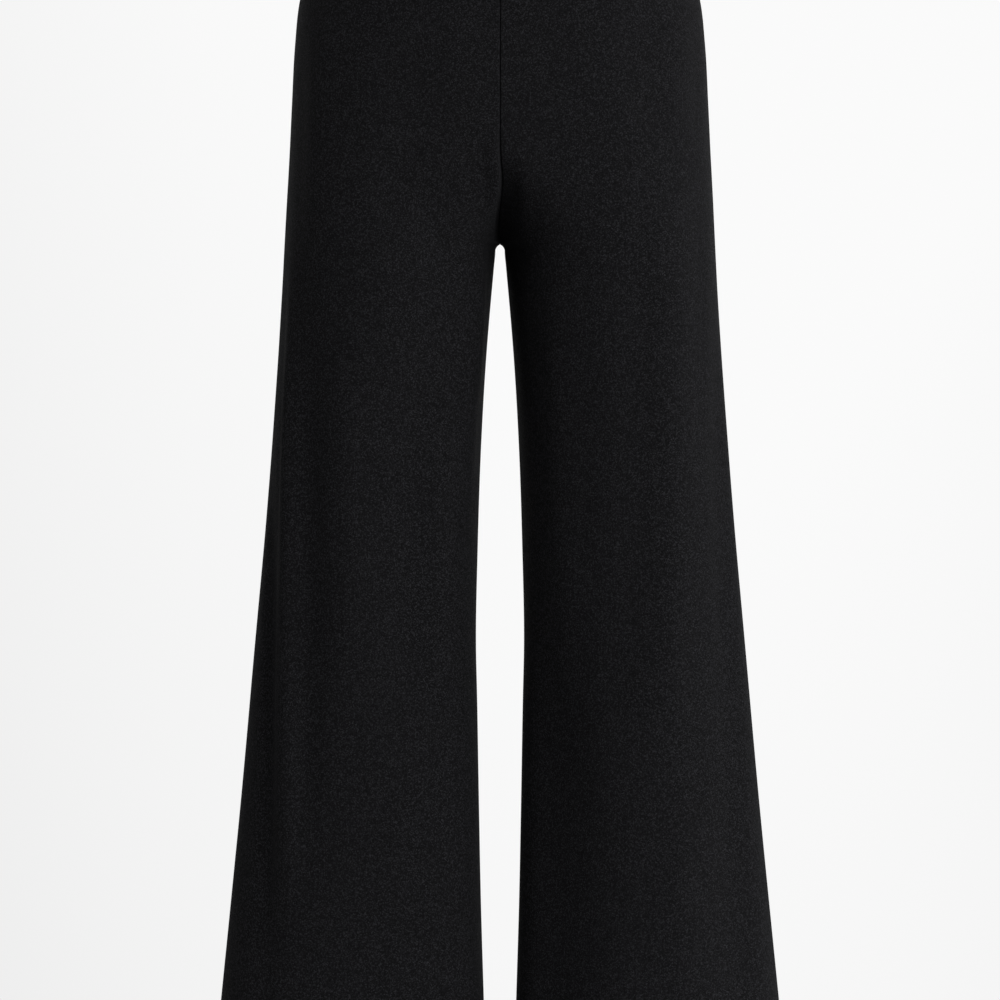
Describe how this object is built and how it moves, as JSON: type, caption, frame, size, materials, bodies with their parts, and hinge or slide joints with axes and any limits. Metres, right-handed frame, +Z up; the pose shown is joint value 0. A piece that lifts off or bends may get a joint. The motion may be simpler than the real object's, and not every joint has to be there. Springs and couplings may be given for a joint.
{
  "type": "flared trousers",
  "caption": "Flared trousers, filled out and hollow, with a plain waistband, open at the waist and at the wide hems.",
  "frame": {"origin": "centre of the waist's top opening, where the wearer holds the trousers up", "axes": "+Z up out of the waist, -Y the wearer's front, +X the wearer's left"},
  "size_m": [0.51, 0.2429, 1.075],
  "materials": {
    "cloth": "fine-grained matte crepe knit, black",
    "waistband": "the same black crepe knit, doubled"
  },
  "bodies": {
    "root": {"front_left": "cloth", "front_right": "cloth", "back_left": "cloth", "back_right": "cloth", "waistband_front": "waistband", "waistband_back": "waistband"}
  },
  "joints": []
}
